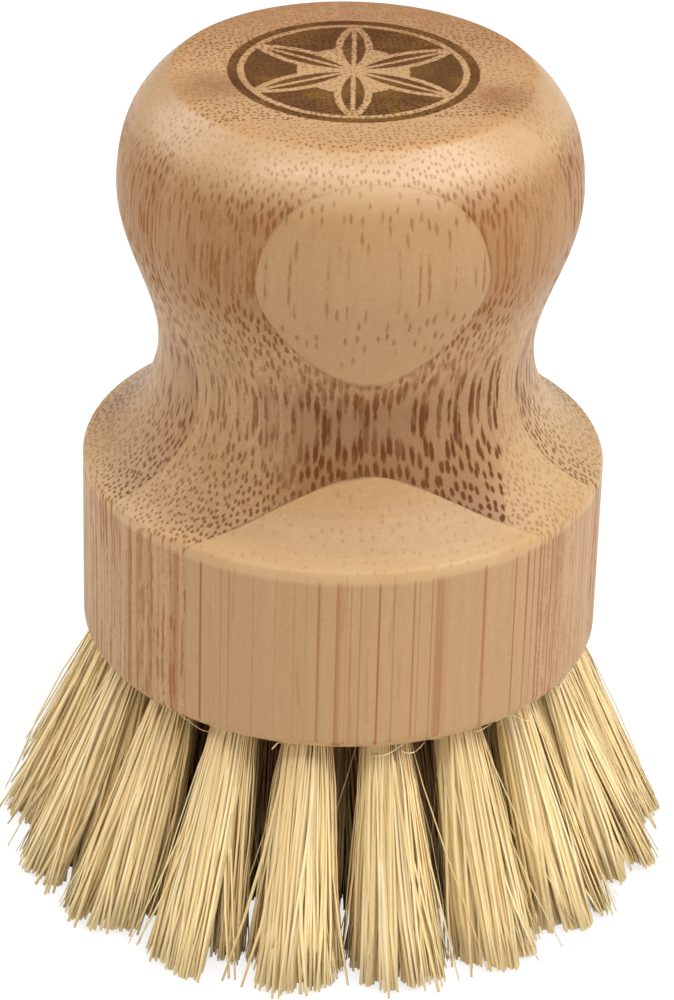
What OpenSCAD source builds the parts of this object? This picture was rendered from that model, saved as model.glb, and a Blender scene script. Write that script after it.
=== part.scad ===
// Bamboo pot brush: a turned handle with a knob grip and a round head, set with
// folded tufts of plant fibre in four rings of leaning holes.
// Millimetres, +Z up, the origin at the middle of the bristle tips.

/* [Handle] */
// Diameter of the round head
head_d = 53; // [52:0.5:60]
// Height of the head's straight side, up to the corner of its rim
head_h = 20.3; // [18:0.1:24]
// Rounding of the head's lower edge
foot_round = 1.6; // [0.6:0.1:3]
// Rounding of the head's rim, where the side meets the sweep
rim_round = 1.1; // [0.4:0.1:2]
// Diameter of the waist between the head and the knob
waist_d = 37.7; // [30:0.1:42]
// Height of the waist above the underside of the head
waist_z = 32.7; // [30:0.1:36]
// Diameter of the knob at its widest
knob_d = 46.1; // [43:0.1:50]
// Height of the knob's widest ring above the underside
knob_z = 49.7; // [47:0.1:52]
// Height of the whole handle above the underside
handle_h = 61.6; // [59:0.1:70]
// Diameter of the flat on top of the knob
top_d = 33.8; // [20:0.1:36]
// Rounding between the crown of the knob and the flat
top_round = 2; // [0.5:0.1:3]
// Slope of the crown where it meets that rounding, in degrees
crown_slope = 41; // [30:1:60]

/* [Fullness of the curves] */
// How far the waist stays slim above its narrowest ring
waist_reach = 6.2; // [3:0.1:8]
// How far the knob stays full below its widest ring
knob_reach = 5.4; // [3:0.1:8]
// How far the knob stays full above its widest ring
crown_reach = 7.2; // [3:0.1:9]
// How far the crown keeps its slope before it turns down
crown_run = 2.6; // [1:0.1:5]

/* [Tuft holes] */
// Diameter of each drilled hole
hole_d = 5; // [4:0.1:5.4]
// Depth of each hole, to the start of the drill point
hole_depth = 10; // [7:0.1:12]
// Angle of the drill's point
drill_point = 140; // [118:1:170]

/* [Rings of tufts] */
// Number of tufts in the outer ring
outer_count = 18; // [12:1:18]
// Distance of the outer holes' mouths, at their middles, in from the side of the head
edge_in = 4.8; // [4.5:0.1:5.5]
// Outward lean of the outer tufts, in degrees
outer_lean = 19.5; // [12:0.5:22]
// Turn of the outer ring from the front, in degrees
outer_turn = 13; // [0:1:19]
// Number of tufts in the middle ring
middle_count = 12; // [8:1:12]
// Diameter of the middle ring, as a share of the outer ring's
middle_share = 0.65; // [0.63:0.01:0.67]
// Outward lean of the middle tufts, in degrees
middle_lean = 12; // [8:0.5:14]
// Number of tufts in the inner ring
inner_count = 6; // [4:1:6]
// Diameter of the inner ring, as a share of the outer ring's
inner_share = 0.332; // [0.322:0.002:0.342]
// Outward lean of the inner tufts, in degrees
inner_lean = 6; // [3:0.5:7]

/* [Bristles] */
// Length of the bristles, from the underside of the head to their cut tips
bristle_h = 23.8; // [18:0.1:30]
// Width of an outer tuft at its tips, round the ring
outer_tip_w = 9.7; // [7:0.1:10.2]
// Depth of an outer tuft at its tips, out from the middle
outer_tip_depth = 9.8; // [7:0.1:10]
// Width of an inner tuft at its tips
inner_tip_w = 8.7; // [6:0.1:9]
// Depth of the grooves between the locks of fibre at the tips
lock_groove = 0.9; // [0.2:0.1:1.6]
// Number of locks of fibre around each tuft
lock_count = 12; // [6:1:14]

/* [Anchor staples] */
// Diameter of the steel wire
wire_d = 0.9; // [0.5:0.1:1.2]
// Depth that the legs bite into the wood past the bottom of the hole
leg_bite = 2.8; // [1.5:0.1:4]
// Thickness of the fold of fibre above the wire
fold_t = 1.4; // [0.8:0.1:2]
// Radius of the two bends, at the middle of the wire
bend_r = 0.9; // [0.7:0.1:1.2]

/* [Hidden] */
$fn = 72;
// Room between a tuft and the wall of its hole
tuft_clear = 0.05;
// Room between the wire and the fibre or the wood
wire_clear = 0.04;
// Room between the legs and the wall of the hole
leg_inset = 0.15;
// Room between the fold of a tuft and the bottom of its hole
fold_clear = 0.2;
// Length of the chisel point on each leg
leg_point = 0.8;
// Width of the flat left on each leg's point
leg_tip_d = 0.3;
// Sound wood left over the deepest marks, up to the plane where the head's solid meets the grip's
sound_wood = 2;
// Run-out of a cutting tool past the face that it leaves
run_out = 3;
// Points along each curve of the handle
curve_steps = 14;
// Depth of the grooves between the locks at the root
root_groove = 0.1;
// How far the most worn locks fall short of the tips' outline
tip_wear = 0.2;
// Share of the root's width that is left at the top of the fold
fold_crown = 0.66;
// Share of the way down at which a tuft begins to spread more
spread_at = 0.45;
// Share of its spread that a tuft has there
spread_part = 0.4;

head_r = head_d / 2;
waist_r = waist_d / 2;
knob_r = knob_d / 2;
hole_r = hole_d / 2;
wire_r = wire_d / 2;
ring_r = head_r - edge_in;
root_r = hole_r - tuft_clear;
leg_x = hole_r - wire_r - leg_inset;
bar_z = hole_depth - fold_clear - fold_t - wire_r;
point_h = hole_r / tan(drill_point / 2);
drilled_h = hole_depth + leg_bite + sound_wood;

// Each ring: name, number of tufts, radius of the holes, lean, turn, tip width, tip depth
RINGS = [
    ["outer", outer_count, ring_r, outer_lean, outer_turn, outer_tip_w, outer_tip_depth],
    ["middle", middle_count, ring_r * middle_share, middle_lean, 0, inner_tip_w, inner_tip_w],
    ["inner", inner_count, ring_r * inner_share, inner_lean, 0, inner_tip_w, inner_tip_w],
    ["centre", 1, 0, 0, 0, inner_tip_w, inner_tip_w],
];

function tuft_name(ring, i) = ring[1] == 1 ? str("tuft_", ring[0]) : str("tuft_", ring[0], "_", i + 1);
function tuft_turn(ring, i) = ring[4] + 360 * i / ring[1];

// Points of an arc round a centre, from one angle to another
function arc(centre, r, from, to) =
    [for (i = [0:curve_steps]) let (a = from + (to - from) * i / curve_steps) centre + r * [cos(a), sin(a)]];

// Points of a cubic curve after its start, with the two pull points b and c
function curve(a, b, c, d) =
    [for (i = [1:curve_steps]) let (t = i / curve_steps, s = 1 - t)
        s * s * s * a + 3 * s * s * t * b + 3 * s * t * t * c + t * t * t * d];

// Half outline of the drilled part of the head above its underside, as [radius, height]
function head_outline() = concat(
    [[0, 0]],
    arc([head_r - foot_round, foot_round], foot_round, -90, 0),
    [[head_r, drilled_h], [0, drilled_h]]);

// Half outline of the rest of the handle: the rim, the sweep, the waist and the knob
function handle_outline() =
    let (
        sweep_r = (pow(head_r - waist_r, 2) + pow(waist_z - head_h, 2)) / (2 * (head_r - waist_r)),
        sweep = [waist_r + sweep_r, waist_z],
        rim_x = head_r - rim_round,
        rim = [rim_x, waist_z - sqrt(pow(sweep_r + rim_round, 2) - pow(sweep[0] - rim_x, 2))],
        rim_end = atan2(sweep[1] - rim[1], sweep[0] - rim[0]),
        waist = [waist_r, waist_z],
        knob = [knob_r, knob_z],
        flat = [top_d / 2, handle_h - top_round],
        crown = flat + top_round * [sin(crown_slope), cos(crown_slope)]
    )
    concat(
        [[0, drilled_h], [head_r, drilled_h]],
        arc(rim, rim_round, 0, rim_end),
        [for (i = [1:curve_steps])
            let (a = 180 + rim_end * (1 - i / curve_steps)) sweep + sweep_r * [cos(a), sin(a)]],
        curve(waist, waist + [0, waist_reach], knob - [0, knob_reach], knob),
        curve(knob, knob + [0, crown_reach],
            crown + crown_run * [cos(crown_slope), -sin(crown_slope)], crown),
        [for (i = [1:curve_steps])
            let (a = 90 - crown_slope * (1 - i / curve_steps)) flat + top_round * [cos(a), sin(a)]],
        [[0, handle_h]]
    );

// Puts its children in the frame of one hole: the origin at the mouth, +Z into the wood
module at_hole(ring, i) {
    rotate([0, 0, tuft_turn(ring, i)])
        translate([0, -ring[2], bristle_h])
            rotate([-ring[3], 0, 0])
                children();
}

// One drilled hole with its drill point and the two marks of the staple's legs
module tuft_hole() {
    translate([0, 0, -run_out]) cylinder(h = run_out + hole_depth, r = hole_r);
    translate([0, 0, hole_depth]) cylinder(h = point_h, r1 = hole_r, r2 = 0);
    for (side = [-1, 1])
        translate([side * leg_x, 0, hole_depth - wire_r])
            cylinder(h = wire_r + leg_bite + wire_clear, r = wire_r + wire_clear, $fn = 24);
}

// The handle above its holes, turned from a laminated blank in one piece with the head
module handle() {
    color([0.80, 0.64, 0.46])
        translate([0, 0, bristle_h]) rotate_extrude($fn = 180) polygon(handle_outline());
}

// The drilled part of the head: the lower end of the same turned piece
module head() {
    color([0.80, 0.64, 0.46])
        difference() {
            translate([0, 0, bristle_h]) rotate_extrude($fn = 180) polygon(head_outline());
            for (ring = RINGS) for (i = [0:ring[1] - 1]) at_hole(ring, i) tuft_hole();
        }
}

// One bent wire staple in the frame of its hole
module staple() {
    bar_half = leg_x - bend_r;
    leg_from = bar_z + bend_r;
    leg_to = hole_depth + leg_bite - leg_point;
    translate([-bar_half, 0, bar_z]) rotate([0, 90, 0]) cylinder(h = 2 * bar_half, r = wire_r, $fn = 24);
    for (side = [0, 1]) mirror([side, 0, 0]) {
        translate([bar_half, 0, leg_from]) rotate([-90, 0, 0])
            rotate_extrude(angle = 90, $fn = 48) translate([bend_r, 0]) circle(r = wire_r, $fn = 24);
        translate([leg_x, 0, leg_from]) cylinder(h = leg_to - leg_from, r = wire_r, $fn = 24);
        translate([leg_x, 0, leg_to]) cylinder(h = leg_point, r1 = wire_r, r2 = leg_tip_d / 2, $fn = 24);
    }
}

// The staples: one in each hole, driven over the fold of its tuft
module staples() {
    color([0.66, 0.67, 0.69])
        for (ring = RINGS) for (i = [0:ring[1] - 1]) at_hole(ring, i) staple();
}

// A closed skin over rings of points, from the top ring down to the last
module loft(rings) {
    n = len(rings[0]);
    last = len(rings) - 1;
    walls = [for (k = [0:last - 1]) for (j = [0:n - 1]) let (m = (j + 1) % n)
        each [[k * n + j, k * n + m, (k + 1) * n + m], [k * n + j, (k + 1) * n + m, (k + 1) * n + j]]];
    top = [[for (j = [0:n - 1]) n - 1 - j]];
    base = [[for (j = [0:n - 1]) last * n + j]];
    polyhedron(points = [for (ring = rings) each ring], faces = concat(top, walls, base));
}

// One ring of a tuft inside its hole, at a depth from the mouth, in the frame of the hole
function root_ring(depth, r, groove) =
    [for (j = [0:2 * lock_count - 1]) let (a = 180 * j / lock_count, q = r - (j % 2) * groove)
        [q * sin(a), -q * cos(a), depth]];

// Turns points from the frame of a hole to the frame of its tuft: the front tuft of the ring
function lean_out(points, ring) =
    [for (p = points) [
        p[0],
        p[1] * cos(ring[3]) + p[2] * sin(ring[3]) - ring[2],
        -p[1] * sin(ring[3]) + p[2] * cos(ring[3]) + bristle_h]];

// The cut tips on the floor: locks of uneven width, with a groove between each two
function tip_ring(ring, seed) =
    let (
        n = 2 * lock_count,
        shift = rands(-0.25, 0.25, n, seed),
        worn = rands(0, 1, n, seed + 500),
        reach = ring[2] + bristle_h * tan(ring[3])
    )
    [for (j = [0:n - 1])
        let (
            a = 180 * (j + shift[j]) / lock_count,
            inset = (j % 2) * lock_groove * (0.6 + 0.4 * worn[j]) + (1 - j % 2) * tip_wear * worn[j]
        )
        [(ring[5] / 2 - inset) * sin(a), -reach - (ring[6] / 2 - inset) * cos(a), 0]];

// A ring partway down a tuft: its middle goes straight, its spread lags behind
function spread_ring(mouth, tips, ring) =
    let (from = [0, -ring[2], bristle_h], to = [0, -ring[2] - bristle_h * tan(ring[3]), 0])
    [for (j = [0:len(tips) - 1])
        from + (to - from) * spread_at
            + (mouth[j] - from) * (1 - spread_part) + (tips[j] - to) * spread_part];

// One tuft: a bundle of fibre folded over its staple, round in the hole and spread below it
module tuft(ring, i) {
    top_depth = hole_depth - fold_clear;
    mouth = lean_out(root_ring(0, root_r, root_groove), ring);
    tips = tip_ring(ring, 1 + i + 20 * ring[1]);
    color([0.88, 0.79, 0.57])
        rotate([0, 0, tuft_turn(ring, i)])
            difference() {
                loft([
                    lean_out(root_ring(top_depth, root_r * fold_crown, 0), ring),
                    lean_out(root_ring(top_depth - root_r * (1 - fold_crown), root_r, root_groove), ring),
                    mouth,
                    spread_ring(mouth, tips, ring),
                    tips
                ]);
                translate([0, -ring[2], bristle_h]) rotate([-ring[3], 0, 0]) staple_slot();
            }
}

// The path that a staple takes through its tuft: under the fold, and up both sides of it
module staple_slot() {
    r = wire_r + wire_clear;
    corner = (bend_r - r) * (2 - sqrt(2));
    translate([-hole_r, 0, bar_z]) rotate([0, 90, 0]) cylinder(h = hole_d, r = r, $fn = 24);
    for (side = [0, 1]) mirror([side, 0, 0]) {
        translate([leg_x - r, -r, bar_z]) cube([hole_r, 2 * r, hole_depth]);
        // The inside of the bend cuts across the corner between the two
        translate([leg_x - r, r, bar_z]) rotate([90, 0, 0])
            linear_extrude(2 * r) polygon([[-r - corner, 0], [r, 0], [r, 2 * r + corner], [0, r + corner], [-corner, r]]);
    }
}

handle();
head();
staples();
for (ring = RINGS) for (i = [0:ring[1] - 1])
    tuft(ring, i);
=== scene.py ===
import math
from collections import namedtuple

import bpy
import numpy as np
from mathutils import Matrix, Vector


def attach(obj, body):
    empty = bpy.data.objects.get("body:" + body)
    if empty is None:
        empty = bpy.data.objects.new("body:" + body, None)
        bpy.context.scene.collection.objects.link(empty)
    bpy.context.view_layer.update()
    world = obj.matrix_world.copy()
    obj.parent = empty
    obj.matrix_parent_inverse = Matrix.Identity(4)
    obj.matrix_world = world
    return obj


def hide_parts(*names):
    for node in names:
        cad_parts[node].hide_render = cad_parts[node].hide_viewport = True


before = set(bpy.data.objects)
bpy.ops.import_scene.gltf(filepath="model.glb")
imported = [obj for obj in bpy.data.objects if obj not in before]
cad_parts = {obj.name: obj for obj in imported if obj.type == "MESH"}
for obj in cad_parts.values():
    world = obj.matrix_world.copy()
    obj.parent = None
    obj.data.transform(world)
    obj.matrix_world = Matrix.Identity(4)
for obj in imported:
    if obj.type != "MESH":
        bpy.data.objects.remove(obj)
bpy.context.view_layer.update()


# Camera
# It stands 0.42 m in front of the brush and looks down on it through a long lens. It leans a little to one
# side, as the camera of the photograph did.
camera_distance = 0.424
camera_rise = math.radians(29.5)
camera_lean = math.radians(1.56)
camera_aim = Vector((-0.00048, 0.0, 0.0375))
camera_data = bpy.data.cameras.new("camera")
camera_data.lens = 148.6
camera_data.sensor_width = 36.0
camera = bpy.data.objects.new("camera", camera_data)
bpy.context.scene.collection.objects.link(camera)
camera_back = Vector((0.0, -math.cos(camera_rise), math.sin(camera_rise)))
camera.matrix_world = (
    Matrix.Translation(camera_aim + camera_back * camera_distance)
    @ Matrix.Rotation(math.pi / 2 - camera_rise, 4, "X")
    @ Matrix.Rotation(camera_lean, 4, "Z")
)
bpy.context.scene.camera = camera


# Handle
# Bamboo strips glued into a block, turned as one piece into a knob, a waist and a round head, then oiled.
# The strips stand on end, so their dark fibre bundles show as dots on flat cuts, as dashes on slopes and as
# lines down the side of the head. A plain six-petalled rosette is burnt into the top of the knob.
def colour(red, green, blue):
    """A colour as it is seen, 0 to 255 a channel, for a shader socket."""
    seen = [channel / 255 for channel in (red, green, blue)]
    linear = [c / 12.92 if c <= 0.04045 else ((c + 0.055) / 1.055) ** 2.4 for c in seen]
    return (*linear, 1.0)


class Finish:
    """One material, put together from short calls. Each gives back the socket or the node that it makes."""

    def __init__(self, name):
        self.material = bpy.data.materials.new(name)
        self.material.use_nodes = True
        self.tree = self.material.node_tree
        self.tree.nodes.clear()
        self.surface = self.tree.nodes.new("ShaderNodeBsdfPrincipled")
        output = self.tree.nodes.new("ShaderNodeOutputMaterial")
        self.tree.links.new(self.surface.outputs[0], output.inputs["Surface"])

    def put(self, socket, value):
        """Links a socket to another one, or sets it to a plain value."""
        if isinstance(value, bpy.types.NodeSocket):
            self.tree.links.new(value, socket)
        else:
            socket.default_value = value

    def add(self, kind, inputs, **choices):
        node = self.tree.nodes.new(kind)
        for choice, value in choices.items():
            setattr(node, choice, value)
        for socket, value in inputs.items():
            self.put(node.inputs[socket], value)
        return node

    def reckon(self, operation, *values):
        return self.add("ShaderNodeMath", dict(enumerate(values)), operation=operation).outputs[0]

    def one_after_another(self, operation, values):
        result = values[0]
        for value in values[1:]:
            result = self.reckon(operation, result, value)
        return result

    def plus(self, *values):
        return self.one_after_another("ADD", values)

    def times(self, *values):
        return self.one_after_another("MULTIPLY", values)

    def largest(self, *values):
        return self.one_after_another("MAXIMUM", values)

    def minus(self, first, second):
        return self.reckon("SUBTRACT", first, second)

    def distance(self, along_x, along_y):
        """How far a point is from where both are 0."""
        squares = self.plus(self.reckon("POWER", along_x, 2.0), self.reckon("POWER", along_y, 2.0))
        return self.reckon("POWER", squares, 0.5)

    def is_number(self, value, number):
        """1 where the value is that whole number, and 0 elsewhere."""
        return self.reckon("COMPARE", value, number, 0.5)

    def vector(self, operation, first, second):
        return self.add("ShaderNodeVectorMath", {0: first, 1: second}, operation=operation).outputs[0]

    def coordinates(self, kind="Object"):
        return self.add("ShaderNodeTexCoord", {}).outputs[kind]

    def split(self, vector):
        return self.add("ShaderNodeSeparateXYZ", {0: vector}).outputs[:]

    def join(self, *values):
        return self.add("ShaderNodeCombineXYZ", dict(enumerate(values))).outputs[0]

    def ramp(self, value, low, high, at_low=0.0, at_high=1.0):
        """A soft step from at_low to at_high, while the value goes from low to high."""
        inputs = {"Value": value, "From Min": low, "From Max": high, "To Min": at_low, "To Max": at_high}
        return self.add("ShaderNodeMapRange", inputs, interpolation_type="SMOOTHSTEP").outputs[0]

    def band(self, value, start, full, fade, end):
        """1 while the value is between full and fade, and softly down to 0 at start and at end."""
        return self.times(self.ramp(value, start, full), self.ramp(value, fade, end, 1.0, 0.0))

    def noise(self, where, grains, detail=2.0, roughness=0.5):
        """Soft noise around 0.5, with so many grains to a unit along each axis."""
        stretched = self.vector("MULTIPLY", where, grains)
        inputs = {"Vector": stretched, "Scale": 1.0, "Detail": detail, "Roughness": roughness}
        return self.add("ShaderNodeTexNoise", inputs).outputs[0]

    def shift(self, where, grains, reach):
        """A soft random shift, at most half the reach either way along each axis."""
        stretched = self.vector("MULTIPLY", where, grains)
        inputs = {"Vector": stretched, "Scale": 1.0, "Detail": 1.0}
        noise = self.add("ShaderNodeTexNoise", inputs).outputs["Color"]
        return self.vector("MULTIPLY", self.vector("SUBTRACT", noise, (0.5, 0.5, 0.5)), reach)

    def blend(self, share, first, second, kind="MIX"):
        """Two colours mixed."""
        choices = {"data_type": "RGBA", "blend_type": kind}
        return self.add("ShaderNodeMix", {0: share, 6: first, 7: second}, **choices).outputs[2]

    def between(self, share, first, second):
        """Two numbers mixed."""
        return self.add("ShaderNodeMix", {0: share, 2: first, 3: second}, data_type="FLOAT").outputs[0]


# Sizes in the wood are in millimetres. Levels are heights above the underside of the head.
head_underside = 23.8
head_radius = 26.5
rim_level = 20.3
waist_level = 32.7
knob_level = 49.7
top_level = 61.6
flat_radius = 16.9

# The block is turned a little away from the front. Its layers count from the front, its strips from the left.
block_turn = math.radians(6.8)
first_glue_plane = 19.86
layer_thickness = 9.2
strip_edge = 10.0
strip_width = 23.9
strip_stagger = 8.0

bamboo = Finish("turned_bamboo")
place = bamboo.vector("MULTIPLY", bamboo.coordinates(), (1000.0, 1000.0, 1000.0))
own_x, own_y = bamboo.split(place)[:2]
from_axis = bamboo.distance(own_x, own_y)
facing_up = bamboo.reckon("ABSOLUTE", bamboo.split(bamboo.coordinates("Normal"))[2])
block = bamboo.add(
    "ShaderNodeVectorRotate", {"Vector": place, "Angle": -block_turn}, rotation_type="Z_AXIS"
).outputs[0]
across, through, tall = bamboo.split(block)
height = bamboo.minus(tall, head_underside)

# Which layer and which strip a point lies in. The glue planes bow by about half a millimetre at the knob.
bow = bamboo.times(
    bamboo.ramp(height, knob_level - 11.7, knob_level + 6.3, -0.35, 0.55),
    bamboo.ramp(height, waist_level - 4.7, waist_level + 3.3),
)
glue_plane = bamboo.plus(first_glue_plane, bow)
layer_place = bamboo.reckon("DIVIDE", bamboo.plus(through, glue_plane), layer_thickness)
layer = bamboo.reckon("FLOOR", layer_place)
layer_depth = bamboo.reckon("FRACT", layer_place)
staggered = bamboo.plus(across, bamboo.times(layer, strip_stagger))
strip_place = bamboo.reckon("DIVIDE", bamboo.plus(staggered, strip_edge), strip_width)
strip = bamboo.reckon("FLOOR", strip_place)
strip_side = bamboo.reckon("FRACT", strip_place)
strip_tone = bamboo.add(
    "ShaderNodeTexWhiteNoise", {"Vector": bamboo.join(layer, strip, 0.0)}, noise_dimensions="2D"
).outputs[0]
front_layer = bamboo.is_number(layer, 0.0)
front_strip = bamboo.times(
    front_layer, bamboo.is_number(strip, 0.0), bamboo.ramp(strip_side, 0.0, 0.22, 0.15, 1.0)
)
right_strip = bamboo.times(front_layer, bamboo.is_number(strip, 1.0))
outer_layer = bamboo.largest(
    bamboo.reckon("LESS_THAN", layer_place, 0.0), bamboo.reckon("GREATER_THAN", layer_place, 4.0)
)

# Stretches of the turned shape, each fading softly into the next
on_side = bamboo.ramp(height, rim_level - 1.5, rim_level - 0.5, 1.0, 0.0)
round_waist = bamboo.band(height, rim_level - 1.3, rim_level + 1.7, waist_level + 0.3, waist_level + 6.3)
below_knob = bamboo.ramp(height, waist_level + 1.3, waist_level + 9.3, 1.0, 0.0)
round_belly = bamboo.band(height, knob_level - 10.7, knob_level - 3.7, knob_level + 4.8, knob_level + 9.3)
round_crown = bamboo.band(height, knob_level + 5.8, knob_level + 9.3, top_level - 0.6, top_level - 0.1)
steep = bamboo.ramp(facing_up, 0.1, 0.5, 1.0, 0.0)

# The bundles are closest and largest at the skin side of each strip, and thin out towards its pith side. The
# third layer lies the other way round, and the outermost layers are nearly free of them.
turned_over = bamboo.is_number(layer, 2.0)
skin_side = bamboo.minus(1.0, bamboo.reckon("ABSOLUTE", bamboo.minus(turned_over, layer_depth)))
wealth = bamboo.times(bamboo.reckon("POWER", skin_side, 1.2), bamboo.minus(1.0, outer_layer))
grain = bamboo.vector("ADD", block, bamboo.shift(block, (0.05, 0.05, 0.06), (1.6, 1.6, 0.0)))
frayed_grain = bamboo.vector("ADD", grain, bamboo.shift(block, (3.0, 3.0, 1.2), (0.28, 0.28, 0.0)))


def bundles(spacing, radius, present, softness=0.12, evenness=0.75):
    """Round bundles that run up the block, so many of which are there. Gives their mask."""
    cells = bamboo.add(
        "ShaderNodeTexVoronoi",
        {"Vector": frayed_grain, "Scale": 1 / spacing, "Randomness": evenness},
        voronoi_dimensions="2D",
    )
    chance = bamboo.split(cells.outputs["Color"])[0]
    there = bamboo.ramp(bamboo.minus(present, chance), -0.1, 0.1)
    outside = bamboo.minus(cells.outputs["Distance"], radius)
    return bamboo.times(there, bamboo.ramp(outside, -softness, softness, 1.0, 0.0))


wider = bamboo.times(steep, 0.07)
finer = bamboo.plus(
    bamboo.ramp(height, knob_level + 5.3, knob_level + 9.8, 0.0, -0.06),
    bamboo.ramp(height, top_level - 0.6, top_level - 0.1, 0.0, 0.045),
)
fine = bundles(
    spacing=0.58,
    radius=bamboo.plus(bamboo.between(wealth, 0.23, 0.30), bamboo.plus(wider, finer)),
    present=bamboo.between(wealth, 0.85, 1.05),
)
coarse = bundles(
    spacing=0.74,
    radius=bamboo.plus(bamboo.between(wealth, 0.25, 0.33), wider),
    present=bamboo.between(wealth, 0.95, 1.2),
    evenness=0.65,
)
sparse = bundles(
    spacing=0.95,
    radius=0.17,
    present=bamboo.ramp(height, knob_level - 9.7, knob_level - 4.7, 0.5, 0.85),
    softness=0.08,
)
side_dots = bamboo.times(fine, bamboo.between(wealth, 0.5, 0.85), bamboo.between(right_strip, 1.0, 0.6))
inner_dots = bamboo.between(bamboo.times(front_strip, below_knob), side_dots, coarse)
outer_dots = bamboo.times(sparse, bamboo.ramp(height, knob_level - 11.7, knob_level - 5.7, 0.2, 0.6))
dots = bamboo.between(outer_layer, inner_dots, outer_dots)
gaps = bamboo.noise(block, (1.3, 1.3, 0.35), 1.0)
broken = bamboo.times(steep, bamboo.between(front_strip, 1.0, 0.5))
dots = bamboo.times(dots, bamboo.between(broken, 1.0, bamboo.ramp(gaps, 0.4, 0.52, 0.25, 1.0)))

# Cut across, they are dark pits; cut along, reddish lines. On the crown they are painted faint, as if washed
# out by the highlight there.
cut_across = bamboo.ramp(facing_up, 0.08, 0.5)
open_pits = bamboo.times(cut_across, bamboo.ramp(height, top_level - 1.1, top_level - 0.1, 0.75, 1.0))
pits = bamboo.between(round_waist, open_pits, 1.0)
above_waist = bamboo.between(round_crown, 0.95, 0.4)
dot_strength = bamboo.times(dots, bamboo.between(round_waist, above_waist, 0.95))

# The wood between them: long soft streaks, fine fibre, mottle, and a slight difference from strip to strip
streaks = bamboo.noise(grain, (0.9, 0.9, 0.02), 3.0, 0.6)
fibre_grain = bamboo.noise(grain, (5.0, 5.0, 0.12), 2.0, 0.6)
blotches = bamboo.noise(block, (0.07, 0.07, 0.05))
speckle = bamboo.noise(block, (3.2, 3.2, 3.2), 1.0)
wood = bamboo.blend(bamboo.ramp(streaks, 0.3, 0.7), colour(216, 176, 132), colour(198, 156, 112))
wood = bamboo.blend(bamboo.ramp(fibre_grain, 0.35, 0.75, 0.0, 0.45), wood, colour(178, 132, 88))
wood = bamboo.blend(bamboo.ramp(speckle, 0.4, 0.7, 0.0, 0.45), wood, colour(168, 122, 82))
wood = bamboo.blend(bamboo.ramp(blotches, 0.35, 0.7, 0.0, 0.45), wood, colour(206, 160, 120))
wood = bamboo.blend(bamboo.times(strip_tone, 0.2), wood, colour(186, 144, 104))
wood = bamboo.blend(bamboo.times(outer_layer, 0.6), wood, colour(196, 157, 114))

# Painted highlights make it paler on the crown (less so on the left), at the edge of the rim and on the right
# of the sweep.
# It is also paler on the flat top and at the bottom edge, and deeper on the knob's belly, where it took more
# oil. The waist is deeper with painted shade under the knob, most where the bundles crowd.
# Painted highlight across the crown, weaker on the left
crown_highlight = bamboo.times(round_crown, bamboo.ramp(own_x, -20.0, -6.0, 0.25, 0.52))
wood = bamboo.blend(crown_highlight, wood, colour(234, 198, 160))
belly_share = bamboo.between(outer_layer, bamboo.between(wealth, 0.35, 0.6), 0.12)
wood = bamboo.blend(bamboo.times(round_belly, belly_share), wood, colour(160, 110, 70))
flat_share = bamboo.ramp(height, top_level - 1.0, top_level - 0.2, 0.0, 0.35)
wood = bamboo.blend(flat_share, wood, colour(228, 186, 142))
# Painted shade under the knob at the waist, darkest where the bundles crowd and on the front strip
waist_shade_and_bundles = bamboo.times(wealth, round_waist, bamboo.between(front_strip, 0.35, 0.9))
wood = bamboo.blend(waist_shade_and_bundles, wood, colour(146, 100, 60))
# Painted highlights: along the outer edge of the rim, and on the right of the sweep where the key lamp falls
rim_highlight = bamboo.times(
    bamboo.ramp(height, rim_level - 1.5, rim_level - 0.7),
    bamboo.ramp(from_axis, head_radius - 3.0, head_radius - 0.3, 0.0, 0.42),
)
right_sweep_highlight = bamboo.times(
    bamboo.band(height, rim_level - 0.7, rim_level + 0.1, rim_level + 4.7, waist_level - 0.7),
    bamboo.ramp(own_x, 12.0, 20.0, 0.0, 0.5),
)
wood = bamboo.blend(bamboo.largest(rim_highlight, right_sweep_highlight), wood, colour(236, 202, 160))
wood = bamboo.blend(bamboo.ramp(height, 0.3, 1.5, 0.4, 0.0), wood, colour(232, 194, 152))
bundle_colour = bamboo.blend(pits, colour(160, 104, 62), colour(112, 62, 32))
wood = bamboo.blend(dot_strength, wood, bundle_colour)

# Down the head's side the same bundles lie open as reddish lines, some of them in close groups
line_groups = bamboo.noise(block, (0.16, 0.16, 0.01), 2.0, 0.6)
hair_lines = bamboo.noise(block, (1.7, 1.7, 0.0), 1.0)
side_lines = bamboo.times(
    bamboo.ramp(hair_lines, 0.56, 0.67), bamboo.ramp(line_groups, 0.36, 0.6, 0.25, 1.0), on_side
)
wood = bamboo.blend(side_lines, wood, colour(168, 102, 62))


def glue_line(part, width):
    """A thin dark line where two pieces of the block meet. A part runs from 0 to 1 over one piece's width."""
    off = bamboo.times(bamboo.reckon("MINIMUM", part, bamboo.minus(1.0, part)), width)
    return bamboo.ramp(off, 0.03, 0.12, 1.0, 0.0)


glue_patches = bamboo.noise(block, (0.3, 0.3, 0.15))
strip_share = bamboo.times(0.25, bamboo.minus(1.0, outer_layer))
strip_lines = bamboo.times(glue_line(strip_side, strip_width), strip_share)
glue = bamboo.times(
    bamboo.largest(glue_line(layer_depth, layer_thickness), strip_lines),
    bamboo.ramp(glue_patches, 0.35, 0.65, 0.1, 0.7),
    bamboo.between(round_waist, 0.5, 1.0),
    bamboo.between(round_crown, 1.0, 0.35),
)
wood = bamboo.blend(glue, wood, colour(128, 92, 54))

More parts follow.
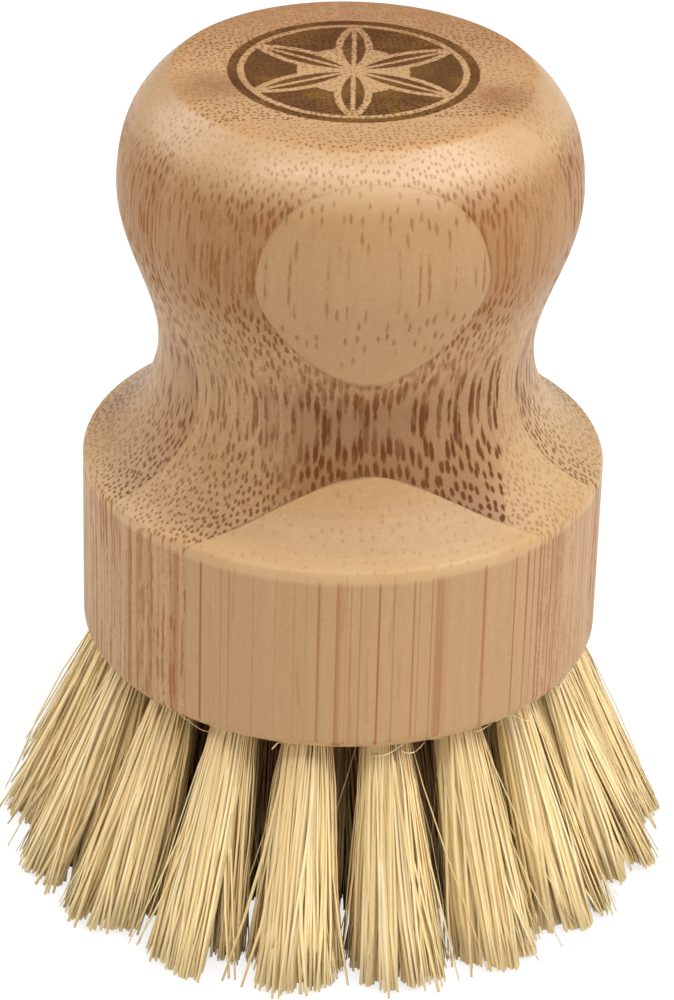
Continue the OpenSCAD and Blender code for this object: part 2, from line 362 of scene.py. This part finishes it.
# The edges of the rim and of the flat top took a little scorch from the turning
scorch_patches = bamboo.ramp(bamboo.noise(place, (0.16, 0.16, 0.1), 3.0), 0.35, 0.7)
rim_scorch = bamboo.band(height, rim_level - 1.4, rim_level - 0.5, rim_level, rim_level + 1.1)
top_scorch = bamboo.times(
    bamboo.band(from_axis, flat_radius - 1.3, flat_radius + 0.3, flat_radius + 0.7, flat_radius + 2.3),
    bamboo.ramp(height, top_level - 3.6, top_level - 1.6),
)
scorch = bamboo.times(bamboo.largest(rim_scorch, top_scorch), bamboo.between(scorch_patches, 0.0, 0.26))
wood = bamboo.blend(scorch, wood, colour(210, 150, 84))

# Smudges on the flat top, darker to the back, and two by its edge
smudges = bamboo.times(
    bamboo.ramp(height, top_level - 1.6, top_level - 0.1), bamboo.ramp(own_y, -4.0, 16.0, 0.0, 0.65)
)
for smudge_x, smudge_y in ((-13.4, -4.6), (14.0, -5.5)):
    to_smudge = bamboo.vector("SUBTRACT", place, (smudge_x, smudge_y, head_underside + top_level - 0.6))
    to_smudge = bamboo.add("ShaderNodeVectorMath", {0: to_smudge}, operation="LENGTH").outputs["Value"]
    smudges = bamboo.largest(smudges, bamboo.ramp(to_smudge, 0.5, 6.0, 0.75, 0.0))
smudges = bamboo.times(smudges, bamboo.ramp(streaks, 0.2, 0.6, 0.6, 1.0))
wood = bamboo.blend(smudges, wood, colour(158, 104, 68))

# Oil deepens the wood all over
wood = bamboo.blend(1.0, wood, (0.775, 0.77, 0.70, 1.0), "MULTIPLY")

# The rosette: six petals drawn with one compass width, a rib down each, hollow triangles between, and a ring.
# One half petal is drawn, and every point is folded onto it.
petal_length = 11.0
petal_line = 0.34
rib_half = 0.22
ring_middle = 11.8
ring_half = 0.5
sixth = math.radians(60)
turned_on = bamboo.plus(bamboo.reckon("ARCTAN2", own_x, own_y), sixth / 2)
folded = bamboo.minus(bamboo.reckon("FLOORED_MODULO", turned_on, sixth), sixth / 2)
folded = bamboo.reckon("ABSOLUTE", folded)
edge_fray = bamboo.times(bamboo.minus(bamboo.noise(place, (2.0, 2.0, 2.0)), 0.5), 0.25)
along_petal = bamboo.times(from_axis, bamboo.reckon("COSINE", folded))
off_petal = bamboo.times(from_axis, bamboo.reckon("SINE", folded))
compass = bamboo.distance(
    bamboo.minus(along_petal, petal_length * math.cos(sixth)),
    bamboo.plus(off_petal, petal_length * math.sin(sixth)),
)
compass = bamboo.plus(compass, edge_fray)
frayed_radius = bamboo.plus(from_axis, edge_fray)


def burnt(value, limit):
    """Burnt where the value is under a limit."""
    soft_edge = 0.09
    return bamboo.ramp(value, limit - soft_edge, limit + soft_edge, 1.0, 0.0)


rib = burnt(bamboo.plus(off_petal, edge_fray), rib_half)
petals = bamboo.times(burnt(compass, petal_length - petal_line), bamboo.minus(1.0, rib))
outside_petals = bamboo.minus(1.0, burnt(compass, petal_length + petal_line))
inside_ring = burnt(frayed_radius, petal_length - petal_line)
outside_middle = bamboo.minus(1.0, burnt(frayed_radius, petal_length / 2))
triangles = bamboo.times(outside_petals, bamboo.times(inside_ring, outside_middle))
ring_line = burnt(bamboo.reckon("ABSOLUTE", bamboo.minus(frayed_radius, ring_middle)), ring_half)
on_flat = bamboo.ramp(height, top_level - 0.3, top_level - 0.1)
rosette = bamboo.times(bamboo.largest(petals, triangles, ring_line), on_flat)
burn_depth = bamboo.ramp(bamboo.noise(block, (0.25, 0.25, 0.25), 3.0), 0.35, 0.65)
burn_colour = bamboo.blend(burn_depth, (0.36, 0.28, 0.11, 1.0), (0.24, 0.16, 0.08, 1.0))
wood = bamboo.blend(rosette, wood, bamboo.blend(1.0, wood, burn_colour, "MULTIPLY"))

# Oiled and sanded: a soft shine, best on the crown, duller in the pits and where it is burnt
dull = bamboo.largest(dots, bamboo.times(rosette, 0.8))
roughness = bamboo.plus(bamboo.ramp(blotches, 0.3, 0.7, 0.38, 0.44), bamboo.times(dull, 0.2))
roughness = bamboo.minus(roughness, bamboo.times(round_crown, 0.12))
shine = bamboo.plus(bamboo.between(dull, 0.42, 0.08), bamboo.times(round_crown, 0.1))
shine = bamboo.minus(shine, bamboo.times(round_belly, bamboo.between(outer_layer, 0.2, 0.05)))
relief = bamboo.minus(bamboo.times(fibre_grain, 0.5), bamboo.plus(dot_strength, glue))
bump = bamboo.add("ShaderNodeBump", {"Height": relief, "Strength": 0.35, "Distance": 0.00008}).outputs[0]
bamboo.put(bamboo.surface.inputs["Base Color"], wood)
bamboo.put(bamboo.surface.inputs["Roughness"], roughness)
bamboo.put(bamboo.surface.inputs["Specular IOR Level"], shine)
bamboo.put(bamboo.surface.inputs["Normal"], bump)

for node_name in ("handle", "head"):
    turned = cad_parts[node_name]
    turned.data.materials.clear()
    turned.data.materials.append(bamboo.material)
    turned.data.shade_smooth()
    turned.data.set_sharp_from_angle(angle=math.radians(40))


# Tufts
# Pale, stiff leaf fibre of an agave, some hundreds of strands to a bundle. Each bundle is folded in half over
# its staple, pushed into a drilled hole and cut level. Below the head the ends spread, cross and part into
# small locks.
millimetre = 0.001
hole_radius = 2.5
staple_height = 7.95
staple_wire = 0.45
wire_room = 0.17
wall_room = 0.33
leg_room = 1.4
locks_to_a_tuft = 11
lock_pull = 0.45
tip_scatter = 0.24
cut_short_share = 0.06
astray_share = 0.06
crossing_share = 0.012
strand_radius = 0.12
strand_flatness = 1.9
strand_sides = 3
widest_reach = 36.2

# Radius is that of the ring of holes. Painted shade: at 1 the strands near the head take the deepest brown,
# standing in for the shade between the tufts under the head.
Ring = namedtuple("Ring", "name tufts radius lean turn tip_width tip_depth strands shade")
outer_ring = Ring("outer", 18, 21.7, math.radians(19.5), math.radians(13), 9.7, 9.8, 440, 0.0)
middle_ring = Ring("middle", 12, 14.1, math.radians(12), 0.0, 8.8, 8.8, 150, 0.85)
inner_ring = Ring("inner", 6, 7.2, math.radians(6), 0.0, 8.7, 8.7, 110, 0.75)
centre_tuft = Ring("centre", 1, 0.0, 0.0, 0.0, 8.7, 8.7, 110, 0.75)

fibre = Finish("agave_fibre")
tone = fibre.add("ShaderNodeAttribute", {}, attribute_name="tone").outputs["Fac"]
shade = fibre.add("ShaderNodeAttribute", {}, attribute_name="shade").outputs["Fac"]
outward = fibre.add("ShaderNodeAttribute", {}, attribute_name="outward").outputs["Vector"]
flecks = fibre.noise(fibre.coordinates(), (900.0, 900.0, 260.0))
ridges = fibre.noise(fibre.coordinates(), (2500.0, 2500.0, 500.0))
straw = fibre.blend(fibre.ramp(tone, 0.0, 0.5), colour(244, 214, 154), colour(248, 223, 168))
straw = fibre.blend(fibre.ramp(tone, 0.5, 1.0), straw, colour(252, 232, 184))
straw = fibre.blend(fibre.ramp(flecks, 0.45, 0.8, 0.0, 0.25), straw, colour(236, 204, 146))
# Painted shade: strands deep in a bundle, near the head and on the inner rings are coloured dark brown
straw = fibre.blend(shade, straw, colour(158, 90, 42))
fibre.put(fibre.surface.inputs["Base Color"], straw)
fibre.put(fibre.surface.inputs["Roughness"], fibre.ramp(flecks, 0.2, 0.8, 0.42, 0.58))
fibre.surface.inputs["Specular IOR Level"].default_value = 0.2

# Each strand takes on some of its bundle's roundness, because fine fibre shines as one soft body
own_normal = fibre.add("ShaderNodeNewGeometry", {}).outputs["Normal"]
alike = fibre.add("ShaderNodeVectorMath", {0: own_normal, 1: outward}, operation="DOT_PRODUCT")
alike = fibre.ramp(alike.outputs["Value"], -0.35, 0.35, 0.0, 1.8)
soft_normal = fibre.vector("MULTIPLY", outward, fibre.join(alike, alike, alike))
soft_normal = fibre.vector("ADD", own_normal, soft_normal)
soft_normal = fibre.add("ShaderNodeVectorMath", {0: soft_normal}, operation="NORMALIZE").outputs[0]
ridge_bump = {"Height": ridges, "Strength": 0.1, "Distance": 0.00003, "Normal": soft_normal}
fibre.put(fibre.surface.inputs["Normal"], fibre.add("ShaderNodeBump", ridge_bump).outputs[0])


def strand_mesh(name, paths, radii, tones, painted_shades, outwards):
    """One closed, flattened tube along each path. All paths have as many points, and are in millimetres."""
    count, rings = paths.shape[:2]
    ahead = np.gradient(paths, axis=1)
    ahead /= np.linalg.norm(ahead, axis=2, keepdims=True)
    first = np.cross(ahead, outwards + np.array([0.013, 0.007, 0.005]))
    first /= np.linalg.norm(first, axis=2, keepdims=True)
    second = np.cross(ahead, first)
    around = 2 * math.pi * np.arange(strand_sides) / strand_sides
    radius = radii[:, :, None, None]
    skin = (
        paths[:, :, None, :]
        + radius * strand_flatness * np.cos(around)[None, None, :, None] * first[:, :, None, :]
        + radius / strand_flatness * np.sin(around)[None, None, :, None] * second[:, :, None, :]
    )
    corner = np.arange(count * rings * strand_sides).reshape(count, rings, strand_sides)
    here, there = corner[:, :-1], corner[:, 1:]
    walls = np.stack([here, np.roll(here, -1, axis=2), np.roll(there, -1, axis=2), there], axis=-1)
    faces = walls.reshape(-1, 4).tolist() + corner[:, 0, ::-1].tolist() + corner[:, -1].tolist()
    mesh = bpy.data.meshes.new(name)
    mesh.from_pydata((skin.reshape(-1, 3) * millimetre).tolist(), [], faces)
    for attribute, values in (("tone", tones), ("shade", painted_shades)):
        numbers = mesh.attributes.new(attribute, "FLOAT", "POINT")
        spread = np.broadcast_to(values[..., None], (count, rings, strand_sides))
        numbers.data.foreach_set("value", spread.reshape(-1).astype(np.float32))
    directions = mesh.attributes.new("outward", "FLOAT_VECTOR", "POINT")
    spread = np.broadcast_to(outwards[:, :, None, :], (count, rings, strand_sides, 3))
    directions.data.foreach_set("vector", spread.reshape(-1).astype(np.float32))
    mesh.shade_smooth()
    piece = bpy.data.objects.new(name, mesh)
    bpy.context.scene.collection.objects.link(piece)
    piece.data.materials.append(fibre.material)
    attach(piece, "root")
    return piece


def out_of_hole(points, ring):
    """From the frame of a hole, its mouth at the origin and +Z into the wood, to that of the brush."""
    x, y, z = np.moveaxis(points, -1, 0)
    return np.stack([
        x,
        y * math.cos(ring.lean) + z * math.sin(ring.lean) - ring.radius,
        -y * math.sin(ring.lean) + z * math.cos(ring.lean) + head_underside,
    ], axis=-1)


def turned_by(points, turn):
    """Points of the front tuft, carried round the brush to another tuft's place."""
    return points @ np.array([
        [math.cos(turn), math.sin(turn), 0],
        [-math.sin(turn), math.cos(turn), 0],
        [0, 0, 1],
    ])


def strand_ends(draw, mouth, ring, locks):
    """The free ends of the strands on one side of the fold, from the mouth of the hole to the cut tips."""
    count = len(mouth)
    start = out_of_hole(mouth, ring)
    turn = np.arctan2(mouth[:, 0], -mouth[:, 1]) + draw.normal(0, 0.2, count)
    spread = np.hypot(mouth[:, 0], mouth[:, 1]) / (hole_radius - 0.2) + draw.normal(0, 0.05, count)
    spread = np.clip(spread, 0, 1.03)

    # Every strand leans towards its nearest lock, and is cut about as short as that lock
    lock_turns, lock_shifts, lock_shorts = locks
    off_lock = (turn[:, None] - lock_turns + math.pi) % (2 * math.pi) - math.pi
    lock = np.argmin(np.abs(off_lock), axis=1)
    turn = turn - off_lock[np.arange(count), lock] * lock_pull * spread
    short = lock_shorts[lock] + np.abs(draw.normal(0, 0.2, count))
    short += (draw.random_sample(count) < cut_short_share) * draw.uniform(0.3, 1.8, count)
    middle = ring.radius + head_underside * math.tan(ring.lean)
    tip = np.stack([
        ring.tip_width / 2 * spread * np.sin(turn),
        -middle - ring.tip_depth / 2 * spread * np.cos(turn),
        np.zeros(count),
    ], axis=-1)
    tip[:, :2] += lock_shifts[lock] * spread[:, None] + draw.normal(0, tip_scatter, (count, 2))

    # A few go astray, and fewer cross into the next tuft
    astray = draw.random_sample(count) < astray_share
    tip[astray, :2] += draw.normal(0, 1.4, (astray.sum(), 2))
    crossing = draw.random_sample(count) < crossing_share
    tip[crossing, 0] += draw.normal(0, 3.2, crossing.sum())
    tip[:, :2] *= np.minimum(1, widest_reach / np.hypot(tip[:, 0], tip[:, 1]))[:, None]
    tip += (start - tip) * ((0.07 + short) / head_underside)[:, None]

    # They open late on their way down, and bow and wave a little
    level = np.array([1, 1, 0])
    bow = draw.normal(0, 0.3, (count, 1, 3)) * level
    bow[astray] *= 2.2
    wave = draw.normal(0, 0.1, (count, 1, 3)) * level
    share = np.array([0.24, 0.5, 0.76, 1.0])[None, :, None]
    opening = share - 0.09 * np.sin(math.pi * share) * level
    centre_from = np.array([0, -ring.radius, head_underside])
    centre_to = np.array([0, -middle, 0])
    line = centre_from + (centre_to - centre_from) * share
    own = (start - centre_from)[:, None] * (1 - opening) + (tip - centre_to)[:, None] * opening
    return line + own + bow * np.sin(math.pi * share) + wave * np.sin(2 * math.pi * share)


def tuft(name, seed, ring, turn):
    """A bundle of strands, each folded over the staple, with two free ends."""
    draw = np.random.RandomState(seed)
    locks = (
        draw.uniform(-math.pi, math.pi, locks_to_a_tuft),
        draw.normal(0, 0.32, (locks_to_a_tuft, 2)),
        draw.uniform(0, 0.6, locks_to_a_tuft),
    )
    place_in_hole = (hole_radius - 0.2) * draw.random_sample(ring.strands) ** 0.34
    turn_in_hole = draw.uniform(0, math.pi, ring.strands)
    x = place_in_hole * np.cos(turn_in_hole)
    y = np.maximum(place_in_hole * np.sin(turn_in_hole), 0.12)
    zero = np.zeros(ring.strands)
    near = np.stack([x, -y, zero], 1)
    far = np.stack([x, y, zero], 1)
    ends_near = strand_ends(draw, near, ring, locks)
    ends_far = strand_ends(draw, far, ring, locks)

    # Over the wire the strands crowd in between the staple's legs
    squeezed = x * leg_room / hole_radius
    level = zero + staple_height + 0.1
    beside_wire = hole_radius - staple_wire - wire_room - wall_room
    past_wire = staple_wire + wire_room + beside_wire * y / hole_radius
    over_wire = staple_height + staple_wire + 0.15 + 1.1 * y / hole_radius
    before_fold = np.stack([squeezed, -past_wire, level], 1)
    top_of_fold = np.stack([squeezed, zero, over_wire], 1)
    after_fold = np.stack([squeezed, past_wire, level], 1)
    fold = out_of_hole(np.stack([near, before_fold, top_of_fold, after_fold, far], axis=1), ring)
    paths = np.concatenate([ends_near[:, ::-1], fold, ends_far], axis=1)

    # From here on, reach is 0 in the head and 1 at the tips
    reach = np.clip(1 - paths[:, :, 2] / head_underside, 0, 1)
    radii = strand_radius * draw.uniform(0.75, 1.3, (ring.strands, 1))
    radii = radii * np.interp(reach, [0, 0.4], [0.72, 1.0])
    radii[:, [0, -1]] *= 0.8
    tones = np.broadcast_to(draw.random_sample((ring.strands, 1)), reach.shape)
    middle = ring.radius + head_underside * math.tan(ring.lean) * reach
    outwards = paths + np.array([0, 1, 0]) * middle[..., None]
    outwards[:, :, 2] = 0
    outwards /= (hole_radius + (ring.tip_width / 2 - hole_radius) * reach)[..., None]
    in_skin = np.clip(np.hypot(outwards[:, :, 0], outwards[:, :, 1]), 0, 1)
    outwards[:, :, 2] = 0.35 * in_skin
    # Painted shade, as a share of dark brown: on strands deep in the bundle, near the head, and more on the
    # inner rings
    painted_shades = 0.08 * np.clip(1.2 - 1.4 * in_skin, 0, 1) + 0.3 * np.clip(1 - 4 * reach, 0, 1)
    painted_shades = np.clip(painted_shades + ring.shade * (1 - 0.85 * reach), 0, 1)
    return strand_mesh(name, turned_by(paths, turn), radii, tones, painted_shades, turned_by(outwards, turn))


for ring in (outer_ring, middle_ring, inner_ring, centre_tuft):
    for i in range(ring.tufts):
        node_name = f"tuft_{ring.name}_{i + 1}" if ring.tufts > 1 else f"tuft_{ring.name}"
        turn = ring.turn + 2 * math.pi * i / ring.tufts
        piece = tuft(f"fibres_{node_name}", 1000 * ring.tufts + i, ring, turn)
        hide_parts(node_name)


# Loose hairs
# A few thin, curly hairs that came off the fibre and hang at the roots of the outer tufts, each caught by one
# end in its tuft.
hair_count = 26
hair_points = 14
hair_radius = 0.05
hair_end_radius = 0.03
first_hair_turn = math.radians(12)

draw = np.random.RandomState(5)
along = np.linspace(0, 1, hair_points)
hairs = np.zeros((hair_count, hair_points, 3))
for i in range(hair_count):
    side = draw.choice([-1, 1])
    from_x = draw.uniform(-1.6, 1.6)
    length = draw.uniform(3.0, 8.0)
    curls = draw.uniform(0.6, 2.6)
    x = from_x + side * length * along * draw.uniform(0.5, 1.0)
    y = -hole_radius - 0.1 - np.sin(math.pi * along * draw.uniform(0.7, 1.3)) * draw.uniform(0.3, 1.0)
    drop = draw.uniform(0.5, 4.0)
    z = -drop - np.sin(math.pi * along * curls + draw.uniform(0, 3)) * draw.uniform(0.4, 1.1)
    z = z - z[0] - draw.uniform(0.6, 3.0)
    hair = out_of_hole(np.stack([x, y * np.minimum(1, 0.7 + 2 * along), z], -1), outer_ring)
    hair[:, 2] = np.minimum(hair[:, 2], head_underside - 0.15)
    turn = first_hair_turn + 2 * math.pi * (i % outer_ring.tufts) / outer_ring.tufts
    hairs[i] = turned_by(hair, turn)
hair_radii = np.full((hair_count, hair_points), hair_radius)
hair_radii[:, -1] = hair_end_radius
even = np.ones((hair_count, hair_points))
strand_mesh("loose_hairs", hairs, hair_radii, 0.9 * even, 0.0 * even, 0.0 * hairs)


# Staples
# Round drawn steel wire, bent to a U with two pointed legs. Each is driven over the fold of a tuft, so that
# its legs bite into the bottom of the hole.
wire = Finish("drawn_wire")
draw_marks = wire.noise(wire.coordinates(), (4000.0, 4000.0, 700.0), 3.0)
steel = wire.blend(wire.ramp(draw_marks, 0.3, 0.7), colour(186, 188, 192), colour(150, 151, 154))
mark_bump = {"Height": draw_marks, "Strength": 0.2, "Distance": 0.00002}
wire.put(wire.surface.inputs["Base Color"], steel)
wire.put(wire.surface.inputs["Roughness"], wire.ramp(draw_marks, 0.3, 0.7, 0.25, 0.4))
wire.put(wire.surface.inputs["Normal"], wire.add("ShaderNodeBump", mark_bump).outputs[0])
wire.surface.inputs["Metallic"].default_value = 1.0
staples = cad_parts["staples"]
staples.data.materials.clear()
staples.data.materials.append(wire.material)
staples.data.shade_smooth()


# Floor and light
# A white table that keeps a faint shadow, in a pale, warm room. A broad lamp stands on the right and a weaker
# one on the left, a long one overhead gives the knob its shine, and a small low one lights the bristles.
floor_half = 3.0
floor_mesh = bpy.data.meshes.new("floor")
floor_corners = [(-1, -1), (1, -1), (1, 1), (-1, 1)]
floor_mesh.from_pydata([(x * floor_half, y * floor_half, 0) for x, y in floor_corners], [], [(0, 1, 2, 3)])
floor = bpy.data.objects.new("floor", floor_mesh)
bpy.context.scene.collection.objects.link(floor)
table = Finish("white_table")
table.surface.inputs["Base Color"].default_value = (0.9, 0.9, 0.9, 1.0)
table.surface.inputs["Roughness"].default_value = 0.9
table.surface.inputs["Specular IOR Level"].default_value = 0.1
seen_white = table.add("ShaderNodeEmission", {"Color": (1.0, 1.0, 1.0, 1.0), "Strength": 1.1}).outputs[0]
seen_share = table.times(table.add("ShaderNodeLightPath", {}).outputs["Is Camera Ray"], 0.72)
seen = table.add("ShaderNodeMixShader", {0: seen_share, 1: table.surface.outputs[0], 2: seen_white})
table.put(table.tree.nodes["Material Output"].inputs["Surface"], seen.outputs[0])
floor_mesh.materials.append(table.material)

brush_middle = Vector((0, 0, 0.045))
lamp_distance = 0.8


def lamp(name, watts, width, depth, rise, to_the_right):
    """A soft lamp that looks at the middle of the brush. Angles are degrees above the table, and round it."""
    data = bpy.data.lights.new(name, "AREA")
    data.energy = watts
    data.shape = "RECTANGLE"
    data.size = width
    data.size_y = depth
    lamp_object = bpy.data.objects.new(name, data)
    bpy.context.scene.collection.objects.link(lamp_object)
    up = math.radians(rise)
    side = math.radians(to_the_right)
    towards = Vector((math.cos(up) * math.sin(side), -math.cos(up) * math.cos(side), math.sin(up)))
    lamp_object.location = brush_middle + towards * lamp_distance
    lamp_object.rotation_euler = towards.to_track_quat("Z", "Y").to_euler()


lamp("key_lamp", 3.6, 0.5, 0.5, 50, 72)
lamp("fill_lamp", 2.0, 0.5, 0.5, 30, -116)
lamp("strip_lamp", 2.9, 1.0, 0.14, 62, -8)
lamp("low_lamp", 0.5, 0.4, 0.4, 16, 52)

# The room lights the brush warmly, a little less in what shines, and the camera sees it plain white
room = bpy.data.worlds.new("room")
bpy.context.scene.world = room
room.use_nodes = True
room_tree = room.node_tree
room_light = room_tree.nodes["Background"]
room_light.inputs["Color"].default_value = (1.0, 0.94, 0.84, 1.0)
room_strength = room_tree.nodes.new("ShaderNodeMapRange")
room_strength.inputs["To Min"].default_value = 0.52
room_strength.inputs["To Max"].default_value = 0.42
backdrop = room_tree.nodes.new("ShaderNodeBackground")
backdrop.inputs["Color"].default_value = (1.0, 1.0, 1.0, 1.0)
light_path = room_tree.nodes.new("ShaderNodeLightPath")
either = room_tree.nodes.new("ShaderNodeMixShader")
room_tree.links.new(light_path.outputs["Is Glossy Ray"], room_strength.inputs["Value"])
room_tree.links.new(room_strength.outputs[0], room_light.inputs["Strength"])
room_tree.links.new(light_path.outputs["Is Camera Ray"], either.inputs[0])
room_tree.links.new(room_light.outputs[0], either.inputs[1])
room_tree.links.new(backdrop.outputs[0], either.inputs[2])
room_tree.links.new(either.outputs[0], room_tree.nodes["World Output"].inputs["Surface"])
bpy.context.scene.view_settings.view_transform = "Standard"
